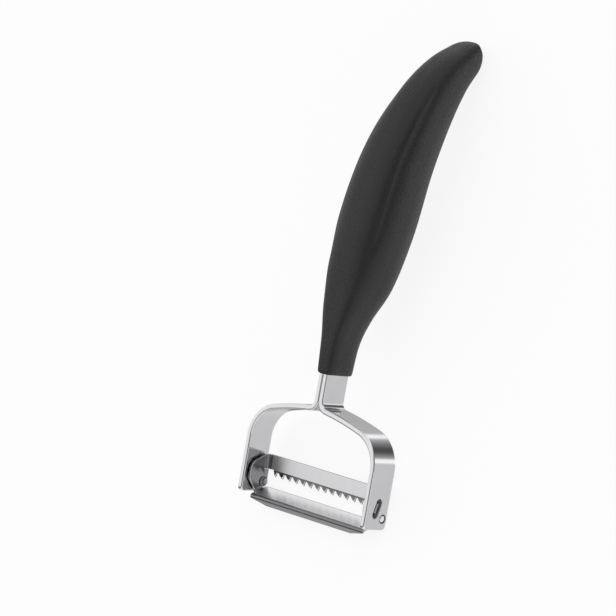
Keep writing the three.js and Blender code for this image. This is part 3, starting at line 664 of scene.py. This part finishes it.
# Parts of the blade that are joined stand this far off, so that no two of their faces lie in one plane
SEAM_STEP = 0.02
UPPER_ROOT = (0, 1.25, 4.65)
UPPER_HEIGHT = 5.2
UPPER_LEAN = math.radians(3)
EDGE_PLACE = (0, 2.95, -1.2)
EDGE_BEVEL = 1.4
EDGE_FLAT = 0.15
EDGE_LAND = 2.8
LOWER_WIDTH = 8.0
LOWER_SLOPE = math.radians(22.5)
LOWER_HALF = 27.6
LIP_SLOPE = math.radians(131)
LIP_RADIUS_OUTSIDE = 1.0
LIP_WIDTH = 2.04
LIP_LEAST = 0.05
LIP_TAPER = 7.0
EAR_FRONT = -7.0
EAR_BROW = 6.7
EAR_SLOT_BACK = 1.9
EAR_FOOT_INSET = 3.9
SHEET_EDGE = 0.12


def arc_points(centre_x, centre_y, radius, start, end, steps):
    """Points round an arc, from one angle to another in degrees."""
    turns = [math.radians(start + (end - start) * step / steps) for step in range(steps + 1)]
    return [(centre_x + radius * math.cos(t), centre_y + radius * math.sin(t)) for t in turns]


def channel(bend_radius):
    """A bar seen end on: a flat web with a short leg bent forward at each end."""
    bend_x = EAR_OUTSIDE - bend_radius
    bend_depth = SHEET - bend_radius
    leg_end = bend_depth - BEND_LEG
    inside = bend_radius - SHEET
    outline = [(EAR_OUTSIDE, leg_end)]
    outline += arc_points(bend_x, bend_depth, bend_radius, 0, 90, BEND_STEPS)
    outline += arc_points(-bend_x, bend_depth, bend_radius, 90, 180, BEND_STEPS)
    outline += [(-EAR_OUTSIDE, leg_end), (-EAR_INSIDE, leg_end)]
    outline += arc_points(-bend_x, bend_depth, inside, 180, 90, BEND_STEPS)
    outline += arc_points(bend_x, bend_depth, inside, 90, 0, BEND_STEPS)
    return outline + [(EAR_INSIDE, leg_end)]


def bar_finish(point):
    """The flat front of a bar is satin with painted light, its bends and back have the painted shade grey."""
    return SATIN if point == WEB_FRONT else PAINTED_SHADE


upper_back = Vector((0, math.cos(UPPER_LEAN), math.sin(UPPER_LEAN)))
upper_root = PIVOT_IN_TOOL + Vector(UPPER_ROOT)
blade = pushed("blade", channel(UPPER_BEND), UPPER_HEIGHT, upper_root, ACROSS, upper_back, SHEET_EDGE,
               blade_steels, PAINTED_SHADE, bar_finish)

# The comb: a plain band and pointed teeth, whose front edges are ground to bevels; the bevels carry the painted
# highlight of the polished edges, the rest of the comb the painted shade grey
TOOTH_PITCH = 3.54
TOOTH_GAPS = 14
TOOTH_LENGTH = 3.0
TOOTH_LEAN = math.radians(20)
TOOTH_THICKNESS = 0.6
TOOTH_STEP = 0.12
TOOTH_OVERLAP = 0.25
TOOTH_BAND = 0.5
TOOTH_ROOT = 0.4
TOOTH_POINT = 0.1
TOOTH_LEAST = 0.01
TOOTH_BEVEL = 0.5
TOOTH_BEVEL_DEPTH = 0.2
TOOTH_DRAFT = 0.22
BAND_SHARE = 0.1
ROOT_STEPS = 8


def comb_outline(inset):
    """The comb in its own plane, with every gap between teeth widened by an inset."""
    half = TOOTH_GAPS * TOOTH_PITCH / 2
    root = TOOTH_ROOT + inset
    band = TOOTH_BAND + inset * BAND_SHARE
    flank = (TOOTH_PITCH / 2 - TOOTH_ROOT - TOOTH_POINT) / (TOOTH_LENGTH - TOOTH_BAND - TOOTH_ROOT)
    lost = inset * math.sqrt(1 + flank ** 2)
    point = max(TOOTH_POINT - lost, TOOTH_LEAST)
    tip = -TOOTH_LENGTH + max(lost - TOOTH_POINT, 0) / flank
    outline = [(half, TOOTH_OVERLAP), (-half, TOOTH_OVERLAP)]
    for gap in range(TOOTH_GAPS):
        left = gap * TOOTH_PITCH - half
        outline.append((left + point, tip))
        outline += [(left + TOOTH_PITCH / 2 + x, z) for x, z in
                    arc_points(0, -band - root, root, 180, 0, ROOT_STEPS)]
        outline.append((left + TOOTH_PITCH - point, tip))
    return outline


comb_lean = UPPER_LEAN + TOOTH_LEAN
comb_rise = Vector((0, -math.sin(comb_lean), math.cos(comb_lean)))
comb_back = Vector((0, math.cos(comb_lean), math.sin(comb_lean)))
comb_front = upper_root + upper_back * TOOTH_STEP
bm = bmesh.new()
front_face = loft(bm, [
    [comb_front + ACROSS * u + comb_rise * v + comb_back * depth for u, v in comb_outline(inset)]
    for depth, inset in ((0, TOOTH_BEVEL), (TOOTH_BEVEL_DEPTH, TOOTH_DRAFT), (TOOTH_THICKNESS, 0))
], lambda point: EDGE)[0]
bm.verts.index_update()
for face in bm.faces:
    if min(corner.index for corner in face.verts) >= len(front_face.verts):
        face.material_index = PAINTED_SHADE
front_face.material_index = PAINTED_SHADE
comb = add_piece("comb", bm, blade_steels)

# The cutting bar: ground edge, flat, and the lip bent down and back, cut away towards its ends
lower_rise = Vector((0, math.cos(LOWER_SLOPE), math.sin(LOWER_SLOPE)))
lower_back = Vector((0, math.sin(LOWER_SLOPE), -math.cos(LOWER_SLOPE)))
edge_place = PIVOT_IN_TOOL + Vector(EDGE_PLACE)
lip_centre = edge_place - lower_rise * LOWER_WIDTH + lower_back * LIP_RADIUS_OUTSIDE
lip_along = Vector((0, -math.cos(LIP_SLOPE), -math.sin(LIP_SLOPE)))


def sheet_normal(slope):
    """The way the upper face of the sheet looks at a slope."""
    return Vector((0, -math.sin(slope), math.cos(slope)))


def lower_section(x):
    """The cutting bar's section at a place across the blade."""
    lip = min(LIP_WIDTH, max(LIP_LEAST, (LOWER_HALF - abs(x)) * LIP_WIDTH / LIP_TAPER))
    back = SHEET - SEAM_STEP
    half_turn = (LIP_SLOPE - LOWER_SLOPE) / 2
    inside = LIP_RADIUS_OUTSIDE - back
    section = [edge_place - lower_rise * EDGE_BEVEL]
    for step in range(BEND_STEPS + 1):
        slope = LOWER_SLOPE + 2 * half_turn * step / BEND_STEPS
        section.append(lip_centre + sheet_normal(slope) * LIP_RADIUS_OUTSIDE)
    section += [
        section[-1] + lip_along * lip,
        lip_centre + sheet_normal(LIP_SLOPE) * inside + lip_along * lip,
        lip_centre + sheet_normal(LOWER_SLOPE + half_turn) * inside / math.cos(half_turn),
        edge_place + lower_back * back,
        edge_place + lower_back * (back - EDGE_FLAT),
    ]
    return [point + ACROSS * x for point in section]


def lower_finish(point):
    """The flat of the cutting bar is satin with painted light, the bend to its lip has the painted shade grey, the
    rest the darker painted grey of lip and underside.
    """
    if point == 0:
        return SATIN
    return PAINTED_SHADE if point <= BEND_STEPS else LIP_SHADE


bm = bmesh.new()
full_lip = LOWER_HALF - LIP_TAPER
loft(bm, [lower_section(x) for x in (-LOWER_HALF, -full_lip, full_lip, LOWER_HALF)], lower_finish)
lower_bar = add_piece("lower_bar", bm, blade_steels)
ear_reach = (EDGE_PLACE[1] - EAR_FRONT - EAR_FOOT_INSET) / math.cos(LOWER_SLOPE)
bend_start = edge_place - lower_rise * ear_reach + lower_back * SEAM_STEP
lower_bend = pushed("lower_bend", channel(LOWER_BEND), ear_reach - EDGE_LAND, bend_start,
                    ACROSS, lower_back, SHEET_EDGE, blade_steels, PAINTED_SHADE, bar_finish)

# The ears link both bars and carry the rivets; a tab on each reaches into the arm's slot
EAR_CORNERS = (3.0, 1.6)
TAB_THICKNESS = 0.8
TAB_WIDTH = 3.2
TAB_END = 30.5
CORNER_STEPS = 8


def rounded_corner(before, corner, after, radius):
    """Points that round a corner of an outline over a length on each side of it."""
    before, corner, after = Vector(before), Vector(corner), Vector(after)
    entry = corner + (before - corner).normalized() * radius
    leave = corner + (after - corner).normalized() * radius
    shares = [step / CORNER_STEPS for step in range(CORNER_STEPS + 1)]
    return [tuple(entry * (1 - s) ** 2 + corner * 2 * s * (1 - s) + leave * s ** 2) for s in shares]


upper_foot = Vector(UPPER_ROOT) - upper_back * (UPPER_BEND - SHEET)
upper_top = upper_foot + upper_back.cross(-ACROSS) * UPPER_HEIGHT
lower_edge = Vector(EDGE_PLACE) - lower_back * (LOWER_BEND - SHEET)
lower_front = lower_edge - lower_rise * ear_reach
ear_low = (EAR_FRONT, lower_front.z + EAR_FOOT_INSET)
ear_high = (EAR_FRONT, EAR_BROW)
ear_outline = [(upper_top.y, upper_top.z)]
ear_outline += rounded_corner((upper_top.y, upper_top.z), ear_high, ear_low, EAR_CORNERS[0])
ear_outline += rounded_corner(ear_high, ear_low, (lower_front.y, lower_front.z), EAR_CORNERS[1])
ear_outline += [(lower_front.y, lower_front.z), (lower_edge.y, lower_edge.z),
                (EAR_SLOT_BACK, lower_edge.z), (EAR_SLOT_BACK, upper_foot.z), (upper_foot.y, upper_foot.z)]
tab_outline = [(-TAB_THICKNESS / 2, -TAB_WIDTH / 2), (TAB_THICKNESS / 2, -TAB_WIDTH / 2),
               (TAB_THICKNESS / 2, TAB_WIDTH / 2), (-TAB_THICKNESS / 2, TAB_WIDTH / 2)]
tab_side = Vector((0, math.cos(SLOT_LEAN), -math.sin(SLOT_LEAN)))
tab_rise = Vector((0, math.sin(SLOT_LEAN), math.cos(SLOT_LEAN)))
tab_root = EAR_INSIDE + SHEET / 2
joined = [comb, lower_bend, lower_bar]
for ear_x, tab_x in ((EAR_INSIDE + SEAM_STEP, tab_root), (SEAM_STEP - EAR_OUTSIDE, -TAB_END)):
    joined.append(pushed("ear", ear_outline, SHEET - 2 * SEAM_STEP, PIVOT_IN_TOOL + ACROSS * ear_x,
                         BACK, UP, SHEET_EDGE, blade_steels, PAINTED_SHADE))
    joined.append(pushed("tab", tab_outline, TAB_END - tab_root, Vector((tab_x, *SLOT_MIDDLE)),
                         tab_side, tab_rise, SHEET_EDGE, blade_steels, PAINTED_SHADE))
combine(blade, joined, "UNION")
shade_evenly(blade)
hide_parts("julienne_blade")
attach(blade, "blade")

# Pivot rivets
# Two turned stainless pins, headed over inside the blade's ears, whose plain ends turn in the
# holes of the arms; they are fixed in the blade and move with it.

# Turned steel: a pin as it leaves the lathe, with fine rings that are drawn at 0.15 mm to show;
# its grey is painted shade, darker than the strips, for the heads that sit in the shade between the ears and the
# arms.
TURNING_RING = 0.00015
turned_pin_painted_shade = lined_steel(
    "stainless_steel_pin_turned_painted_shade", greys=("#88888b", "#9a9a9d"),
    lines=(TURNING_RING, STREAK_LENGTH, STREAK_LENGTH), roughness=(0.236, 0.284))

# Material number of the pin; its rounded end has that of the polished edges
PIN = 0
PIN_END = 30.4
RIVET_TURNING = (
    # place across, radius
    (26.55, 0.05), (26.57, 0.5), (26.65, 0.9), (26.8, 1.3), (27.0, 1.6), (27.15, 1.77), (27.22, 1.8),
    (27.4, 1.8), (27.45, 1.75), (27.46, 1.2), (30.5, 1.2), (30.62, 1.18), (30.72, 1.1), (30.8, 0.98),
    (30.84, 0.85), (30.85, 0.7), (30.84, 0.3), (30.82, 0.05),
)
RIVET_SIDES = 40
for side_name, side in (("right", 1), ("left", -1)):
    bm = bmesh.new()
    loft(bm, [[(side * x, PIVOT_IN_TOOL.y + y, PIVOT_IN_TOOL.z + z) for y, z in
               arc_points(0, 0, radius, 0, 360 * (1 - 1 / RIVET_SIDES), RIVET_SIDES - 1)]
              for x, radius in RIVET_TURNING])
    for face in bm.faces:
        face.material_index = EDGE if abs(face.calc_center_median().x) > PIN_END * MM else PIN
    rivet = add_piece(f"rivet_{side_name}", bm, [turned_pin_painted_shade, polished_edge_painted_highlight])
    shade_evenly(rivet)
    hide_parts(f"pivot_rivet_{side_name}")
    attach(rivet, "blade")

# Studio floor
# A plain white sweep that the tool lies on; it catches the tool's soft shadow. The steel mirrors the
# light tent and not the sweep, because the dark band round its shoulder is the gap in the tent.
FLOOR_SIZE = 3.0
bm = bmesh.new()
bmesh.ops.create_grid(bm, x_segments=1, y_segments=1, size=FLOOR_SIZE)
floor_mesh = bpy.data.meshes.new("studio_floor")
bm.to_mesh(floor_mesh)
bm.free()

# Matt white paper: seen by the camera it is white but for a faint share of shadow,
# and it lights the tool from below as plain paper does.
PAPER_WHITE = 0.85
SHADOW_SHARE = 0.2
TENT_LIGHT = 0.8
SEEN_WHITE = 1.02
white_sweep, tree = new_material("matt_white_paper_sweep")
ray = add_node(tree, "ShaderNodeLightPath")
paper = add_node(tree, "ShaderNodeBsdfDiffuse", {"Color": [PAPER_WHITE] * 3 + [1]})
lit_paper = add_node(tree, "ShaderNodeBsdfDiffuse", {"Color": [SHADOW_SHARE] * 3 + [1]})
glow = add_node(tree, "ShaderNodeEmission", {
    "Color": (1, 1, 1, 1), "Strength": SEEN_WHITE - TENT_LIGHT * SHADOW_SHARE,
})
seen = add_node(tree, "ShaderNodeAddShader", {0: lit_paper.outputs[0], 1: glow.outputs[0]})
mixed = add_node(tree, "ShaderNodeMixShader", {
    0: ray.outputs["Is Camera Ray"], 1: paper.outputs[0], 2: seen.outputs[0],
})
add_node(tree, "ShaderNodeOutputMaterial", {"Surface": mixed.outputs[0]})
floor_mesh.materials.append(white_sweep)
floor = bpy.data.objects.new("studio_floor", floor_mesh)
bpy.context.scene.collection.objects.link(floor)
floor.visible_glossy = False

# Studio light
# A white light tent all round the tool. It has one narrow dark gap, which widens to the opening that
# the camera looks through and to the doorway beside it, and a strip lamp along each side of the gap.
GAP_NORMAL = Vector((-0.502, 0.688, 0.524)).normalized()
OPENING = Vector((0.68, -0.0626, 0.7308)).normalized()
LAMP_MIDDLE = Vector((0.33, 0.75, -0.58)).normalized()
LAMP_REACH = (0.76, 0.86)
LAMP_LEVEL = 1.1
GAP_LEVELS = (
    # turn towards the gap's normal, level
    (-0.5, 0.88), (-0.29, 0.72), (-0.2, 0.42), (-0.06, 0.12), (0.06, 0.11), (0.2, 0.31), (0.28, 0.56),
    (0.37, 0.62), (0.46, 0.9), (0.82, 0.88), (0.9, 0.75), (1.0, 0.5),
)
LAMP_LEVELS = (
    (-0.44, 0), (-0.39, 0.7), (-0.3, 0.7), (-0.25, 0), (0.3, 0), (0.335, 0.8), (0.37, 1), (0.41, 0),
)
OPENING_LEVELS = ((0.87, 1.0), (0.92, 0.45), (0.965, 0.12), (1.0, 0.08))
DOORWAY = Vector((0.95, 0.2, -0.2)).normalized()
DOORWAY_LEVELS = ((0.9, 1.0), (0.94, 0.55), (0.97, 0.35), (1.0, 0.3))
world = bpy.data.worlds.new("light_tent")
bpy.context.scene.world = world
world.use_nodes = True
tree = world.node_tree
tree.nodes.clear()
ray = add_node(tree, "ShaderNodeLightPath")
where = add_node(tree, "ShaderNodeTexCoord")


def towards(direction):
    """How far each way in the tent turns towards a direction: the cosine of the angle between them."""
    dot = add_node(tree, "ShaderNodeVectorMath", {0: where.outputs["Generated"], 1: direction},
                   operation="DOT_PRODUCT")
    return dot.outputs["Value"]


def levels(turn, stops):
    """A brightness that follows a turn from -1 to 1 through stops of turn and level."""
    share = add_node(tree, "ShaderNodeMapRange", {"Value": turn, "From Min": -1.0})
    ramp = add_node(tree, "ShaderNodeValToRGB", {"Fac": share.outputs["Result"]})
    elements = ramp.color_ramp.elements
    for stop, (stop_turn, level) in enumerate(stops):
        stop_share = (stop_turn + 1) / 2
        if stop >= len(elements):
            elements.new(stop_share)
        elements[stop].position = stop_share
        elements[stop].color = (level, level, level, 1)
    return ramp.outputs["Color"]


across_gap = towards(GAP_NORMAL)
tent = levels(across_gap, GAP_LEVELS)
for direction, stops in ((OPENING, OPENING_LEVELS), (DOORWAY, DOORWAY_LEVELS)):
    opened = add_node(tree, "ShaderNodeMix", {0: 1.0, 6: tent, 7: levels(towards(direction), stops)},
                      data_type="RGBA", blend_type="DARKEN")
    tent = opened.outputs[2]
reach = add_node(tree, "ShaderNodeMapRange", {
    "Value": towards(LAMP_MIDDLE), "From Min": LAMP_REACH[0], "From Max": LAMP_REACH[1],
    "To Max": LAMP_LEVEL,
})
lamps = add_node(tree, "ShaderNodeMix", {
    0: 1.0, 6: levels(across_gap, LAMP_LEVELS), 7: reach.outputs["Result"],
}, data_type="RGBA", blend_type="MULTIPLY")
studio = add_node(tree, "ShaderNodeMix", {
    0: 1.0, 6: tent, 7: lamps.outputs[2],
}, data_type="RGBA", blend_type="ADD")
inside = add_node(tree, "ShaderNodeBackground", {"Color": studio.outputs[2], "Strength": 1.0})
white = add_node(tree, "ShaderNodeBackground", {"Color": (1, 1, 1, 1), "Strength": 1.0})
mixed = add_node(tree, "ShaderNodeMixShader", {
    0: ray.outputs["Is Camera Ray"], 1: inside.outputs[0], 2: white.outputs[0],
})
add_node(tree, "ShaderNodeOutputWorld", {"Surface": mixed.outputs[0]})

# Camera
# A long lens, 1.5 m from the tool, 43 degrees to the right of its front and 6 degrees towards its handle,
# turned a little on its axis and aimed a little past the middle of the tool.
VIEW_AZIMUTH = math.radians(43.128)
VIEW_ELEVATION = math.radians(5.999)
VIEW_ROLL = math.radians(10.132)
VIEW_DISTANCE = 1500
MIDDLE = Vector((0, 0, 60))
SIDE_AIM = -11.09
UP_AIM = 10.73
LENS_PX = 4371
FRAME_PX = 616
SENSOR_MM = 36
FAR_CLIP = 20
to_camera = Vector((math.sin(VIEW_AZIMUTH) * math.cos(VIEW_ELEVATION),
                    -math.cos(VIEW_AZIMUTH) * math.cos(VIEW_ELEVATION), math.sin(VIEW_ELEVATION)))
level_right = Vector((math.cos(VIEW_AZIMUTH), math.sin(VIEW_AZIMUTH), 0))
level_up = to_camera.cross(level_right)
right = level_right * math.cos(VIEW_ROLL) + level_up * math.sin(VIEW_ROLL)
up = level_up * math.cos(VIEW_ROLL) - level_right * math.sin(VIEW_ROLL)
stand = MIDDLE + to_camera * VIEW_DISTANCE
aim = MIDDLE + right * SIDE_AIM + up * UP_AIM
back = (stand - aim).normalized()
side = up.cross(back).normalized()
rise = back.cross(side)
turned = lying @ Matrix((side, rise, back)).transposed()
camera_data = bpy.data.cameras.new("camera")
camera_data.sensor_width = SENSOR_MM
camera_data.lens = LENS_PX * SENSOR_MM / FRAME_PX
camera_data.clip_end = FAR_CLIP
camera = bpy.data.objects.new("camera", camera_data)
camera.matrix_world = Matrix.Translation(place(*stand)) @ turned.to_4x4()
bpy.context.scene.collection.objects.link(camera)
bpy.context.scene.camera = camera
bpy.context.scene.view_settings.view_transform = "Standard"
